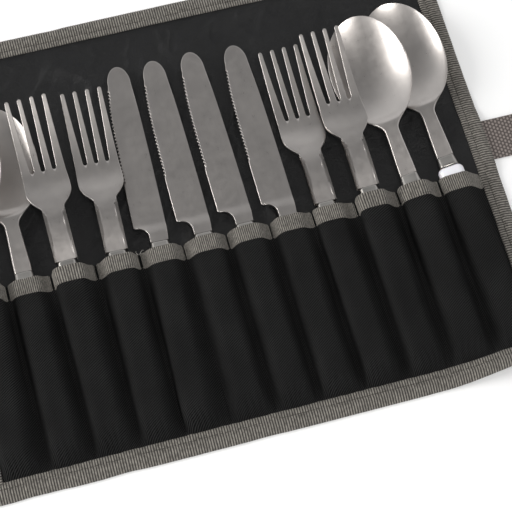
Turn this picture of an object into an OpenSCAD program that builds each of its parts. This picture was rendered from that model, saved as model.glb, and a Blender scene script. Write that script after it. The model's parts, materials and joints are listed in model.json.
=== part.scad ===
// Picnic cutlery in its roll: twelve utensils with steel heads and plastic handles,
// each in its own sewn pocket of a fabric roll that folds up at three seams and is
// held shut by a webbing strap.
// Origin: middle of the roll's underside, on the line where the pocket mouths are
// sewn. +X runs across the pockets, +Y from the handles to the heads, +Z is up.

/* [Roll] */
// Distance between pocket seams
pitch = 25; // [25:0.1:25.4]
// Width of the ribbon that shows along each edge
border = 11.5; // [10:0.5:13]
// From the mouth line down to the bottom ribbon
pocket_depth = 97; // [96:1:110]
// From the mouth line up to the top ribbon
lining_reach = 150; // [145:1:170]
// Height of the ribbon around the pocket mouths
mouth_ribbon = 9.5; // [8:0.5:11]
// Thickness of the outer fabric
shell_t = 1; // [0.8:0.1:1.2]
// Thickness of the lining
lining_t = 0.6; // [0.5:0.1:0.8]
// Thickness of the pocket fabric and of its ribbon
panel_t = 0.7; // [0.5:0.05:0.75]
// Thickness of one leaf of the edge ribbon
leaf_t = 0.5; // [0.4:0.05:0.6]

/* [Strap] */
// Width of the webbing
strap_w = 25; // [20:1:30]
// Thickness of the webbing
strap_t = 1.4; // [1:0.1:1.6]
// Length that comes down the side of the folded roll
strap_side_len = 69; // [68:1:80]
// Length that goes under the folded roll
strap_end_len = 88; // [80:1:100]
// Height of the strap's middle above the mouth line
strap_y = 29; // [20:1:40]

/* [Utensils] */
// Width of a handle
handle_w = 15; // [14:0.1:15]
// Thickness of a handle
handle_t = 7.6; // [7:0.1:7.6]
// Length of a handle
handle_len = 92; // [85:1:93]
// Length of the steel ferrule
ferrule_len = 6.5; // [5:0.5:8]
// Width of the neck where it meets the ferrule
neck_w = 10; // [9:0.1:10.4]
// Length of a knife blade and its neck
knife_len = 112; // [105:1:115]
// Length of a fork head and its neck
fork_len = 97.5; // [92:0.5:98]
// Width of a fork head
fork_w = 25.4; // [24:0.1:25.6]
// Length of a spoon head and its neck
spoon_len = 101.7; // [96:0.1:102]
// Width of a spoon bowl
bowl_w = 46.4; // [44:0.2:46.6]
// Depth of a spoon bowl, with its steel
bowl_d = 7.6; // [6.5:0.1:7.8]

/* [Hidden] */
// One row per pocket: kind, sideways offset of the ring, height of the ring above
// the mouth line, lean to the right, tip-up tilt, and lean of the head to its left
PLACES = [
    ["spoon",  1.2, 14.5,  2.2, 3.1, 10],
    ["spoon", -1.5, 14.5, -0.4, 0.3,  0],
    ["fork",  -2.1, 13.4, -0.5, 3.3,  0],
    ["fork",   1.0, 13.0,  1.6, 1.6,  0],
    ["knife",  0.5, 13.6,  2.5, 0.0,  0],
    ["knife",  0.3, 12.4,  0.4, 0.0,  0],
    ["knife", -0.8, 12.2, -0.4, 0.2,  0],
    ["knife", -0.9, 10.4,  0.0, 0.1,  0],
    ["fork",  -3.2, 13.0, -0.8, 0.3,  0],
    ["fork",  -3.4, 13.8, -1.3, 3.5,  0],
    ["spoon", -3.7, 16.0, -2.2, 2.0, 16],
    ["spoon", -4.3, 22.6, -3.2, 0.4,  9],
];
COUNT = len(PLACES);
NAMES = [
    "spoon_1", "spoon_2", "fork_1", "fork_2", "knife_1", "knife_2",
    "knife_3", "knife_4", "fork_3", "fork_4", "spoon_3", "spoon_4",
];
KIND = 0;
SHIFT = 1;
RING = 2;
LEAN = 3;
TILT = 4;
TWIST = 5;

// The roll is made of four panels: first and last pocket of each
PANELS = ["left", "spine_left", "spine_right", "right"];
FIRST = [0, 5, 6, 7];
LAST = [4, 5, 6, 11];

steel = [0.62, 0.6, 0.58];
white = [0.9, 0.9, 0.93];
black = [0.09, 0.09, 0.1];
black_lining = [0.13, 0.13, 0.15];
grey_ribbon = [0.5, 0.48, 0.44];
grey_webbing = [0.4, 0.37, 0.35];

half_w = COUNT * pitch / 2 + border;
bottom_y = -pocket_depth - border;
top_y = lining_reach + border;
floor_z = shell_t + lining_t;     // top of the lining, where the fold hinges are
fold_gap = 0.25;                  // half the gap between two panels' outer fabric
top_gap = 0.55;                   // and half the gap between what lies on them
seam_foot = 0.9;                  // from a seam to the foot of the pocket's arch
edge_in = 1;                      // how far the fabric stays inside the ribbon's edge

handle_r = handle_t / 2;
handle_flat = handle_w / 2 - handle_r;
slack = 0.3;                      // between a handle and its pocket
lift = 0.35;                      // between a handle and the lining
tang_w = 4;
tang_t = 2.2;
tang_len = 40;
tang_play = 0.1;
EPS = 0.01;

// ---------------------------------------------------------------- numbers

function clamp01(t) = min(1, max(0, t));
function ease(t) = let (c = clamp01(t)) c * c * (3 - 2 * c);
function mix(a, b, t) = a + (b - a) * t;
// cubic from a to b with end slopes sa and sb
function hermite(a, b, sa, sb, t) =
    (2 * t * t * t - 3 * t * t + 1) * a + (t * t * t - 2 * t * t + t) * sa
    + (3 * t * t - 2 * t * t * t) * b + (t * t * t - t * t) * sb;
// smooth curve through points [u, value]
function slope_at(p, i) =
    let (a = max(0, i - 1), b = min(len(p) - 1, i + 1))
    (p[b][1] - p[a][1]) / (p[b][0] - p[a][0]);
function curve(p, u, i = 0) =
    u <= p[0][0] ? p[0][1] :
    i >= len(p) - 1 ? p[len(p) - 1][1] :
    u > p[i + 1][0] ? curve(p, u, i + 1) :
    let (w = p[i + 1][0] - p[i][0])
    hermite(p[i][1], p[i + 1][1], slope_at(p, i) * w, slope_at(p, i + 1) * w,
            (u - p[i][0]) / w);

function seam_x(i) = (i - COUNT / 2) * pitch;
function pocket_x(i) = seam_x(i + 0.5);
function place(i, k) = PLACES[i][k];
function is_kind(i, k) = place(i, KIND) == k;

// Height of a handle's middle at its rear end: a twisted handle stands higher
function rear_z(i) = floor_z + lift + handle_r + handle_flat * sin(place(i, TWIST));
grip_len = ferrule_len + handle_len;
function ring_z(i) = rear_z(i) + grip_len * sin(place(i, TILT));
function ring_x(i) = pocket_x(i) + place(i, SHIFT);
// sideways place and height of the handle's middle, a distance back from the ring
function handle_x(i, back) = ring_x(i) - back * sin(place(i, LEAN));
function handle_z(i, back) = ring_z(i) - back * sin(place(i, TILT));

// ---------------------------------------------------------------- utensils

// Puts a utensil, drawn along +Y from its ring, into its pocket
module placed(i) {
    translate([ring_x(i), place(i, RING), ring_z(i)])
        rotate([0, 0, -place(i, LEAN)])
            rotate([place(i, TILT), 0, 0])
                rotate([0, -place(i, TWIST), 0])
                    children();
}

// Stadium outline, as wide as w and as high as t
module stadium(w, t) {
    square([w - t, t], center = true);
    for (s = [-1, 1])
        translate([s * (w - t) / 2, 0]) circle(d = t, $fn = 48);
}

// Rectangle with round corners, from y0 to y1
module round_strip(w, y0, y1, r) {
    translate([-w / 2 + r, y0]) square([w - 2 * r, y1 - y0]);
    translate([-w / 2, y0 + r]) square([w, y1 - y0 - 2 * r]);
    for (x = [-1, 1])
        for (y = [y0 + r, y1 - r])
            translate([x * (w / 2 - r), y]) circle(r = r, $fn = 48);
}

// Bar along Y with the section of its children
module along_y(y0, y1) {
    translate([0, y1, 0]) rotate([90, 0, 0]) linear_extrude(y1 - y0) children();
}

// Plate along Y, cut to the side view of its children: their X is Y, their Y is Z
module side_cut(w) {
    rotate([90, 0, 90]) translate([0, 0, -w / 2]) linear_extrude(w) children();
}

module tang(play = 0) {
    translate([-tang_w / 2 - play, -ferrule_len - tang_len - play, -tang_t / 2 - play])
        cube([tang_w + 2 * play, ferrule_len + tang_len + EPS + play, tang_t + 2 * play]);
}

shoulder_r = 3;
heel_r = 6;
module handle() {
    front = -ferrule_len - 0.1;
    rear = -grip_len;
    color(white)
        difference() {
            intersection() {
                along_y(rear, front) stadium(handle_w, handle_t);
                translate([0, 0, -handle_t])
                    linear_extrude(2 * handle_t)
                        round_strip(handle_w, rear, front, heel_r);
                side_cut(2 * handle_w)
                    rotate(90) round_strip(handle_t, -front, -rear, shoulder_r);
            }
            tang(tang_play);
        }
}

ferrule_front_t = 4.6;
ferrule_back_w = 11.6;
ferrule_back_t = 6;
ring_gap = 0.12;
module ferrule() {
    color(steel)
        difference() {
            hull() {
                along_y(-ring_gap - 0.3, -ring_gap) stadium(neck_w, ferrule_front_t);
                along_y(-ferrule_len, -ferrule_len + 0.3)
                    stadium(ferrule_back_w, ferrule_back_t);
            }
            tang(tang_play);
        }
}

// ---- knife

spine_x = 5.6;
edge_x = -12.7;
choil_y = 10;
choil_r = 6.5;
teeth_from = 38;
tooth = 1.3;
tooth_depth = 0.35;
teeth = 46;
// the spine side, from the ring to the tip, and the cutting side
SPINE = [[0, neck_w / 2], [8, spine_x], [45, 5.4], [80, 4.7], [100, 3.7]];
EDGE = [[0, edge_x], [45, edge_x], [78, -12.1], [94, -10.8], [101, -9.6]];
tip_c = -3;
tip_side_y = 101;
function tip_half(s) = s > 0 ? curve(SPINE, tip_side_y) - tip_c : tip_c - curve(EDGE, tip_side_y);
function knife_outline() = concat(
    [[-neck_w / 2, 0]],
    [for (u = [0:4:100]) [curve(SPINE, u), u]],
    [for (a = [0:10:180])
        [tip_c + cos(a) * tip_half(cos(a)), tip_side_y + (knife_len - tip_side_y) * sin(a)]],
    [[curve(EDGE, 100), 100]],
    [for (k = [teeth:-1:0], h = [0, 1])
        let (u = teeth_from + (k - h / 2) * tooth)
        [curve(EDGE, u) + (h == 0 ? 0 : tooth_depth), u]],
    [[edge_x, choil_y]],
    [for (a = [0:10:90])
        [-neck_w / 2 - choil_r + choil_r * sin(a), choil_y - choil_r * (1 - cos(a))]]
);
blade_t = 1.8;
edge_t = 0.7;
neck_t = 3.6;
module knife_head() {
    color(steel) {
        intersection() {
            translate([0, 0, -neck_t]) linear_extrude(2 * neck_t) polygon(knife_outline());
            union() {
                // the blade, thinner towards its cutting side
                along_y(choil_y - 8, knife_len + 1)
                    polygon([
                        [edge_x - 1, -edge_t / 2], [-1, -blade_t / 2], [9, -blade_t / 2],
                        [9, blade_t / 2], [-1, blade_t / 2], [edge_x - 1, edge_t / 2]
                    ]);
                // the neck, which thins into the blade
                side_cut(4 * neck_w)
                    polygon([
                        [0, -neck_t / 2], [5, -neck_t / 2], [13, -blade_t / 2],
                        [13, blade_t / 2], [5, neck_t / 2], [0, neck_t / 2]
                    ]);
            }
        }
        tang();
    }
}

// ---- fork

FORK_RISE = [[0, 0], [12, 1.5], [24, 2.2], [36, 0.9], [48, -0.9], [58, -0.9],
             [72, 0.9], [85, 3.4], [97.5, 6.2]];
FORK_T = [[0, 3.4], [14, 3], [30, 2.4], [50, 2.1], [97.5, 1.5]];
shoulder_y = 41;
slot_y = 54.5;
slot_w = 2.4;
slot_gap = 6.34;
tine_w = 2.2;
FORK_HALF = [[0, neck_w / 2], [10, 4.6], [25, 4.15], [31, 6.2], [36, 10.4],
             [shoulder_y, fork_w / 2], [slot_y, 12.4], [fork_len, 11.8]];
fork_step = 1.25;
function fork_side() = concat(
    [for (k = [0:fork_len / fork_step])
        let (u = k * fork_step) [u, curve(FORK_RISE, u) + curve(FORK_T, u) / 2]],
    [for (k = [fork_len / fork_step:-1:0])
        let (u = k * fork_step) [u, curve(FORK_RISE, u) - curve(FORK_T, u) / 2]]
);
function fork_edge(s) = [for (u = [0:1.5:fork_len - tine_w / 2]) [s * curve(FORK_HALF, u), u]];
function reversed(p) = [for (k = [len(p) - 1:-1:0]) p[k]];
tine_pitch = (2 * 11.8 - tine_w) / 3;
module fork_plan() {
    difference() {
        polygon(concat(fork_edge(1), reversed(fork_edge(-1))));
        for (k = [-1:1])
            polygon(concat(
                [for (a = [180:20:360])
                    [k * slot_gap + slot_w / 2 * cos(a), slot_y + slot_w / 2 * (1 + sin(a))]],
                [[k * tine_pitch + (tine_pitch - tine_w) / 2, fork_len + 1],
                 [k * tine_pitch - (tine_pitch - tine_w) / 2, fork_len + 1]]
            ));
    }
    for (k = [-1.5:1.5])
        translate([k * tine_pitch, fork_len - tine_w / 2]) circle(d = tine_w, $fn = 24);
}
module fork_head() {
    color(steel) {
        intersection() {
            translate([0, 0, -15]) linear_extrude(40) fork_plan();
            side_cut(2 * fork_w) polygon(fork_side());
        }
        tang();
    }
}

// ---- spoon

bowl_mid = 66.7;
bowl_half = spoon_len - bowl_mid;
bowl_join = 40;
neck_end = 27;
neck_half = 4.15;
bowl_t = 1.2;
function ellipse_half(u) =
    bowl_w / 2 * sqrt(max(0, 1 - pow((u - bowl_mid) / bowl_half, 2)));
function ellipse_slope(u) =
    let (t = (u - bowl_mid) / bowl_half) -bowl_w / 2 / bowl_half * t / sqrt(1 - t * t);
function spoon_half(u) =
    u <= neck_end ? mix(neck_w / 2, neck_half, ease(u / neck_end)) :
    u < bowl_join ? hermite(neck_half, ellipse_half(bowl_join), 0,
                            ellipse_slope(bowl_join) * (bowl_join - neck_end),
                            (u - neck_end) / (bowl_join - neck_end)) :
    ellipse_half(u);
SPOON_RISE = [[0, 0], [12, 1.5], [26, 2.9], [36, 3.2], [66, 3.1], [spoon_len, 3.6]];
SPOON_T = [[0, 3.4], [14, 3], [27, 2.6], [38, 1.8], [50, bowl_t], [spoon_len, bowl_t]];
// how deep the bowl is at u, under its rim
function bowl_dip(u) =
    let (t = clamp01((u - 33) / (spoon_len - 33)))
    (bowl_d - bowl_t) * pow(sin(180 * pow(t, 0.9)), 0.75);
spoon_across = 14;
spoon_rings = 34;
// stations along the spoon, closer together towards the tip
function spoon_u(k) =
    let (t = k / spoon_rings)
    t < 0.45 ? t / 0.45 * 45 : 45 + (spoon_len - 0.15 - 45) * sin(90 * (t - 0.45) / 0.55);
function spoon_point(u, j, side) =
    let (
        w = spoon_half(u),
        v = -cos(180 * j / spoon_across),
        dip = bowl_dip(u) * pow(max(0, 1 - v * v), 0.8),
        t = curve(SPOON_T, u) / 2 * mix(0.45, 1, sqrt(max(0, 1 - v * v)))
    )
    [w * v, u, curve(SPOON_RISE, u) - dip + side * t];
function spoon_ring(u) = concat(
    [for (j = [0:spoon_across]) spoon_point(u, j, 1)],
    [for (j = [spoon_across:-1:0]) spoon_point(u, j, -1)]
);
module spoon_head() {
    n = 2 * (spoon_across + 1);
    points = [for (k = [0:spoon_rings]) for (p = spoon_ring(spoon_u(k))) p];
    faces = concat(
        [[for (j = [0:n - 1]) j]],
        [for (k = [0:spoon_rings - 1]) for (j = [0:n - 1])
            let (a = k * n + j, b = k * n + (j + 1) % n) [b, a, a + n]],
        [for (k = [0:spoon_rings - 1]) for (j = [0:n - 1])
            let (a = k * n + j, b = k * n + (j + 1) % n) [b, a + n, b + n]],
        [[for (j = [n - 1:-1:0]) spoon_rings * n + j]]
    );
    color(steel) {
        polyhedron(points, faces);
        tang();
    }
}

module head(i) {
    if (is_kind(i, "knife")) knife_head();
    if (is_kind(i, "fork")) fork_head();
    if (is_kind(i, "spoon")) spoon_head();
}

// ---------------------------------------------------------------- fabric panels

// A panel's ends: the outer ones reach past their ribbon, the others stop at a fold
function panel_x0(p, d, gap) = p == 0 ? -half_w + d : seam_x(FIRST[p]) + gap;
function panel_x1(p, d, gap) =
    p == len(PANELS) - 1 ? half_w - d : seam_x(LAST[p] + 1) - gap;

// Box over a panel, from z0 to z1, d inside the roll's edges
module sheet_box(p, d, z0, z1, gap = fold_gap) {
    x0 = panel_x0(p, d, gap);
    translate([x0, bottom_y + d, z0])
        cube([panel_x1(p, d, gap) - x0, top_y - bottom_y - 2 * d, z1 - z0]);
}

module outer_shell(p) {
    color(black)
        difference() {
            union() {
                sheet_box(p, border, 0, shell_t);
                sheet_box(p, edge_in, leaf_t, shell_t);
            }
            if (p == 0) loop_box(0.05);
        }
}

module lining(p) {
    color(black_lining) sheet_box(p, edge_in, shell_t, floor_z);
}

module edge_ribbon(p) {
    color(grey_ribbon)
        difference() {
            sheet_box(p, 0, 0, floor_z + leaf_t, top_gap);
            sheet_box(p, border, -1, floor_z + leaf_t + 1, 0);
            // the slot that holds the fabric's edge
            sheet_box(p, edge_in, leaf_t, floor_z, 0);
        }
}

// Outline of a pocket's arch: straight from each seam, then round the handle.
// r is the handle's half thickness plus what lies over it, foot is how far from the
// seam the arch starts
function arch(i, r, foot, down) =
    let (
        front = min(ferrule_len, place(i, RING) - mouth_ribbon),
        rear = grip_len,
        side = handle_flat * cos(place(i, TWIST)),
        rise = handle_flat * sin(place(i, TWIST)),
        xl = min(handle_x(i, front), handle_x(i, rear)) - side,
        xr = max(handle_x(i, front), handle_x(i, rear)) + side,
        zl = handle_z(i, front) + (place(i, LEAN) < 0 ? rise : -rise),
        zr = handle_z(i, front) + rise,
        fl = seam_x(i) + foot,
        fr = seam_x(i + 1) - foot,
        al = atan2(zl - floor_z, xl - fl) + asin(min(1, r / norm([xl - fl, zl - floor_z]))),
        ar = atan2(zr - floor_z, fr - xr) + asin(min(1, r / norm([fr - xr, zr - floor_z]))),
        top = atan2(zr - zl, xr - xl),
        steps = 6
    )
    concat(
        [[fl, down], [fl, floor_z]],
        [for (k = [0:steps]) let (a = 90 + mix(al, top, k / steps))
            [xl + r * cos(a), zl + r * sin(a)]],
        [for (k = [0:steps]) let (a = 90 + mix(top, -ar, k / steps))
            [xr + r * cos(a), zr + r * sin(a)]],
        [[fr, floor_z], [fr, down]]
    );
inner_r = handle_r + slack;
outer_r = inner_r + panel_t;

// The sewn strip lies on the lining from y0, the arches start at arch_y, and their
// hollows at hollow_y; all run up to y1
module pockets(p, y0, arch_y, hollow_y, y1) {
    x0 = panel_x0(p, border, top_gap);
    difference() {
        union() {
            translate([x0, y0, floor_z])
                cube([panel_x1(p, border, top_gap) - x0, y1 - y0, panel_t]);
            for (i = [FIRST[p]:LAST[p]])
                along_y(arch_y, y1) polygon(arch(i, outer_r, seam_foot, floor_z));
        }
        for (i = [FIRST[p]:LAST[p]])
            along_y(hollow_y, y1 + 1)
                polygon(arch(i, inner_r, seam_foot + 1.2 * panel_t, floor_z - 1));
    }
}

pocket_end = -pocket_depth + 2.5;
end_t = 0.8;
module pocket_panel(p) {
    color(black) pockets(p, -pocket_depth, pocket_end - end_t, pocket_end, 0);
}

module mouth_ribbon_of(p) {
    color(grey_ribbon) pockets(p, 0, 0, -1, mouth_ribbon);
}

// ---------------------------------------------------------------- strap

strap_z = 0.15;
strap_start = half_w + 0.45;
strap_bend = strap_start + strap_side_len;
patch_len = 45;
patch_w = 20;
patch_t = 0.8;
loop_x = -133;
loop_len = 66;

module loop_box(play) {
    translate([loop_x - play, strap_y - strap_w / 2 - play, -1])
        cube([loop_len + 2 * play, strap_w + 2 * play, 1 + 0.5 + play]);
}
module loop_patch() {
    color(black)
        translate([loop_x, strap_y - strap_w / 2, 0]) cube([loop_len, strap_w, 0.5]);
}
module strap_side() {
    color(grey_webbing)
        translate([strap_start, strap_y - strap_w / 2, strap_z])
            cube([strap_side_len - 0.3, strap_w, strap_t]);
}
module strap_end() {
    color(grey_webbing) {
        translate([strap_bend + 0.3, strap_y - strap_w / 2, strap_z])
            cube([strap_end_len - strap_w / 2 - 0.3, strap_w, strap_t]);
        translate([strap_bend + strap_end_len - strap_w / 2, strap_y, strap_z])
            cylinder(d = strap_w, h = strap_t, $fn = 64);
    }
}
module hook_patch() {
    color(black)
        translate([strap_bend + strap_end_len - strap_w / 2 - patch_len,
                   strap_y - patch_w / 2, strap_z + strap_t])
            cube([patch_len, patch_w, patch_t]);
}

// ---------------------------------------------------------------- nodes

for (i = [0:COUNT - 1]) {
    placed(i) head(i);
    placed(i) ferrule();
    placed(i) handle();
}
for (p = [0:len(PANELS) - 1]) {
    outer_shell(p);
    lining(p);
    pocket_panel(p);
    mouth_ribbon_of(p);
    edge_ribbon(p);
}
loop_patch();
strap_side();
strap_end();
hook_patch();
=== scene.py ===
"""The looks of the picnic cutlery roll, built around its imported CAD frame.

Shapes are worked out in millimetres in the row frame and turned into metres when a mesh is made.
"""
import json
import math

import bmesh
import bpy
import numpy as np
from mathutils import Matrix, Vector
from numpy import (
    arange, array, clip, concatenate, exp, hypot, linspace, maximum, minimum, sqrt, stack, where, zeros,
)

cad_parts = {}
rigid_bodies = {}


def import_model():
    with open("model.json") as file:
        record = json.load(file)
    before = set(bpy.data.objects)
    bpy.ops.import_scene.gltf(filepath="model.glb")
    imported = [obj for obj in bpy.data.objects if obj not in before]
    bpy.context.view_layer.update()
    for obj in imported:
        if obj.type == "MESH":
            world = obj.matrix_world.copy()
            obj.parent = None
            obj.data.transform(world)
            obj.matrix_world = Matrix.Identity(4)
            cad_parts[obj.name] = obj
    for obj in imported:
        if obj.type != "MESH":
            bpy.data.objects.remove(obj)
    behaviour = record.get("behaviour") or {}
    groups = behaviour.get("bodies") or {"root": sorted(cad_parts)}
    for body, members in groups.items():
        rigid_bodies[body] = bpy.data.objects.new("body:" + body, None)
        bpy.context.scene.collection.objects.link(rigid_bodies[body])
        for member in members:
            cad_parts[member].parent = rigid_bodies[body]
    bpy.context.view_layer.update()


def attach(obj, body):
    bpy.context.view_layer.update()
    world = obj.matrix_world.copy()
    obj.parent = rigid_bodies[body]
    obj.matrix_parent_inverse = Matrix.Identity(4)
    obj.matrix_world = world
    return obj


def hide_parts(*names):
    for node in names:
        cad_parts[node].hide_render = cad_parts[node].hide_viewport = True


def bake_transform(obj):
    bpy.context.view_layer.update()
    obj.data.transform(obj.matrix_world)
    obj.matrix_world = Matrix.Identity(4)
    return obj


for old in list(bpy.data.objects):
    bpy.data.objects.remove(old)
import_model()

# ---- sizes, in mm
PITCH = 25.0
POCKETS = 12
FLOOR = 1.6  # height of the fold hinges, and of what lies on the lining
LINING_Z = 1.57  # top of the lining where it has no wrinkle
HALF_W, BOTTOM, TOP = 161.5, -108.5, 161.5
MOUTH = 9.5  # height of the ribbon around the pocket mouths
HANDLE_W, HANDLE_T = 15.0, 7.6
HANDLE_FLAT = (HANDLE_W - HANDLE_T) / 2  # half the flat part of its cross-section
FERRULE, GRIP = 6.5, 98.5
PULL = 95.0  # how far a knife is pulled out
RIB = 1.45  # spacing of the ribbon's ribs
CREASE = 7.75  # the edge ribbon's seam, in from its outer edge
WEAVE_ROW, WEAVE_DOT = 1.9, 2.4  # the webbing's rows, and the dots along a row
STRAP_W, STRAP_T, STRAP_Y = 25.0, 1.4, 29.0
STRAP_X0, STRAP_X1, STRAP_X2 = 161.95, 230.95, 318.95

# name, sideways offset of the ring, its height above the mouth line, lean, tilt, twist
PLACES = [
    ("spoon_1", 1.2, 14.5, 2.2, 3.1, 10),
    ("spoon_2", -1.5, 14.5, -0.4, 0.3, 0),
    ("fork_1", -2.1, 13.4, -0.5, 3.3, 0),
    ("fork_2", 1.0, 13.0, 1.6, 1.6, 0),
    ("knife_1", 0.5, 13.6, 2.5, 0.0, 0),
    ("knife_2", 0.3, 12.4, 0.4, 0.0, 0),
    ("knife_3", -0.8, 12.2, -0.4, 0.2, 0),
    ("knife_4", -0.9, 10.4, 0.0, 0.1, 0),
    ("fork_3", -3.2, 13.0, -0.8, 0.3, 0),
    ("fork_4", -3.4, 13.8, -1.3, 3.5, 0),
    ("spoon_3", -3.7, 16.0, -2.2, 2.0, 16),
    ("spoon_4", -4.3, 22.6, -3.2, 0.4, 9),
]

rad = math.radians


def seam_x(i):
    return (i - POCKETS / 2) * PITCH


# ---- small maths
def ease(t):
    t = clip(t, 0, 1)
    return t * t * (3 - 2 * t)


def mix(a, b, t):
    return a + (b - a) * t


def hermite(t, a, b, slope_a, slope_b):
    """From a at t = 0 to b at t = 1, with a slope at each."""
    return ((2 * t**3 - 3 * t**2 + 1) * a + (t**3 - 2 * t**2 + t) * slope_a
            + (3 * t**2 - 2 * t**3) * b + (t**3 - t**2) * slope_b)


def curve(points, u):
    """Smooth curve through (u, value) points, with the slope at each from its neighbours."""
    p = array(points, float)
    n = len(p)
    u = clip(np.asarray(u, float), p[0, 0], p[-1, 0])
    span = p[minimum(arange(n) + 1, n - 1)] - p[maximum(arange(n) - 1, 0)]
    slope = span[:, 1] / span[:, 0]
    i = clip(np.searchsorted(p[:, 0], u, side="right") - 1, 0, n - 2)
    w = p[i + 1, 0] - p[i, 0]
    return hermite((u - p[i, 0]) / w, p[i, 1], p[i + 1, 1], slope[i] * w, slope[i + 1] * w)


def noise(x, y, cell, seed):
    """Smooth seeded noise from -1 to 1."""
    lattice = np.random.default_rng(seed).uniform(-1, 1, (97, 97))
    u, v = np.asarray(x, float) / cell, np.asarray(y, float) / cell
    i, j = np.floor(u).astype(int), np.floor(v).astype(int)
    f, g = ease(u - i), ease(v - j)
    at = lambda a, b: lattice[a % 97, b % 97]
    return mix(mix(at(i, j), at(i + 1, j), f), mix(at(i, j + 1), at(i + 1, j + 1), f), g)


def corner_lift(x, y):
    """The lower right corner of the roll curls up off the table."""
    return 13.5 * ease((x - 84) / 80) ** 1.2 * ease((-80 - y) / 32)


# ---- meshes
def add_object(name, data):
    made = bpy.data.objects.new(name, data)
    bpy.context.scene.collection.objects.link(made)
    return made


def new_piece(name, verts, faces, uv=None, material=None):
    """A piece from points in mm. uv is one pair for each corner of each face, in mm."""
    mesh = bpy.data.meshes.new(name)
    mesh.from_pydata((np.asarray(verts, float) / 1000).tolist(), [], [list(f) for f in faces])
    if uv is not None:
        layer = mesh.uv_layers.new(name="cloth")
        layer.data.foreach_set("uv", np.asarray(uv, np.float32).ravel())
    mesh.polygons.foreach_set("use_smooth", [True] * len(mesh.polygons))
    if material:
        mesh.materials.append(material)
    mesh.update()
    mesh.set_sharp_from_angle(angle=rad(48))
    piece = add_object(name, mesh)
    return piece


def grid_faces(n, m, start=0, flip=False, wrap=False):
    """Quads of an n by m grid of points, and with wrap the last column joins the first."""
    i, j = np.meshgrid(arange(n - 1 + wrap), arange(m - 1), indexing="ij")
    k = (i + 1) % n
    quads = stack([i * m + j, k * m + j, k * m + j + 1, i * m + j + 1], -1).reshape(-1, 4) + start
    return quads[:, ::-1] if flip else quads


def border_loop(n, m):
    """Indices round the edge of an n by m grid."""
    return concatenate([
        arange(n) * m,
        (n - 1) * m + arange(1, m),
        arange(n - 2, -1, -1) * m + m - 1,
        arange(m - 2, 0, -1),
    ])


def sheet_mesh(top, bottom, uv):
    """Closed cloth between two grids of points, with the same uv on both."""
    n, m = top.shape[:2]
    up = grid_faces(n, m)
    down = grid_faces(n, m, n * m, flip=True)
    loop = border_loop(n, m)
    after = np.roll(loop, -1)
    rim = stack([after, loop, loop + n * m, after + n * m], -1)
    faces = concatenate([up, down, rim])
    flat = concatenate([uv.reshape(-1, 2)] * 2)
    return concatenate([top.reshape(-1, 3), bottom.reshape(-1, 3)]), faces, flat[faces]


def sweep_mesh(rings, uv=None):
    """Closed tube through rings, an array (stations, points round, 3), with flat ends."""
    n, m = rings.shape[:2]
    index = (arange(n)[None, :] * m + arange(m)[:, None]).reshape(-1)
    faces = index[grid_faces(m, n, wrap=True)].tolist()  # columns are the points round
    faces += [list(range(m)), list(range(n * m - 1, (n - 1) * m - 1, -1))]
    if uv is not None:
        uv = uv.reshape(-1, 2)[[k for face in faces for k in face]]
    return rings.reshape(-1, 3), faces, uv


class Threads:
    """Many short lengths of sewing thread, gathered into one piece."""

    def __init__(self, radius):
        self.radius, self.verts, self.faces = radius, [], []

    def add(self, a, b, bow, radius=None):
        """From a to b, thin at both ends and bowed up between them."""
        a, b = array(a, float), array(b, float)
        length = np.linalg.norm(b - a)
        along = (b - a) / length
        side = np.cross(along, (0, 0, 1))
        side /= np.linalg.norm(side)
        out = np.cross(side, along)
        start, n = len(self.verts), 6
        for t, w in ((0.0, 0.25), (0.08, 0.8), (0.3, 1.0), (0.7, 1.0), (0.92, 0.8), (1.0, 0.25)):
            centre = a + along * length * t + out * bow * math.sin(math.pi * t)
            for k in range(n):
                c = 2 * math.pi * k / n
                spoke = math.cos(c) * side + math.sin(c) * out
                self.verts.append(centre + (radius or self.radius) * w * spoke)
        for ring in range(start, start + 5 * n, n):
            for k in range(n):
                p, q = ring + k, ring + (k + 1) % n
                self.faces.append([q, p, p + n, q + n])
        self.faces.append([start + k for k in range(n)])
        self.faces.append([start + 5 * n + k for k in range(n - 1, -1, -1)])

    def piece(self, name, material, slot):
        return new_piece(name, self.verts, self.faces, material=material)


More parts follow.
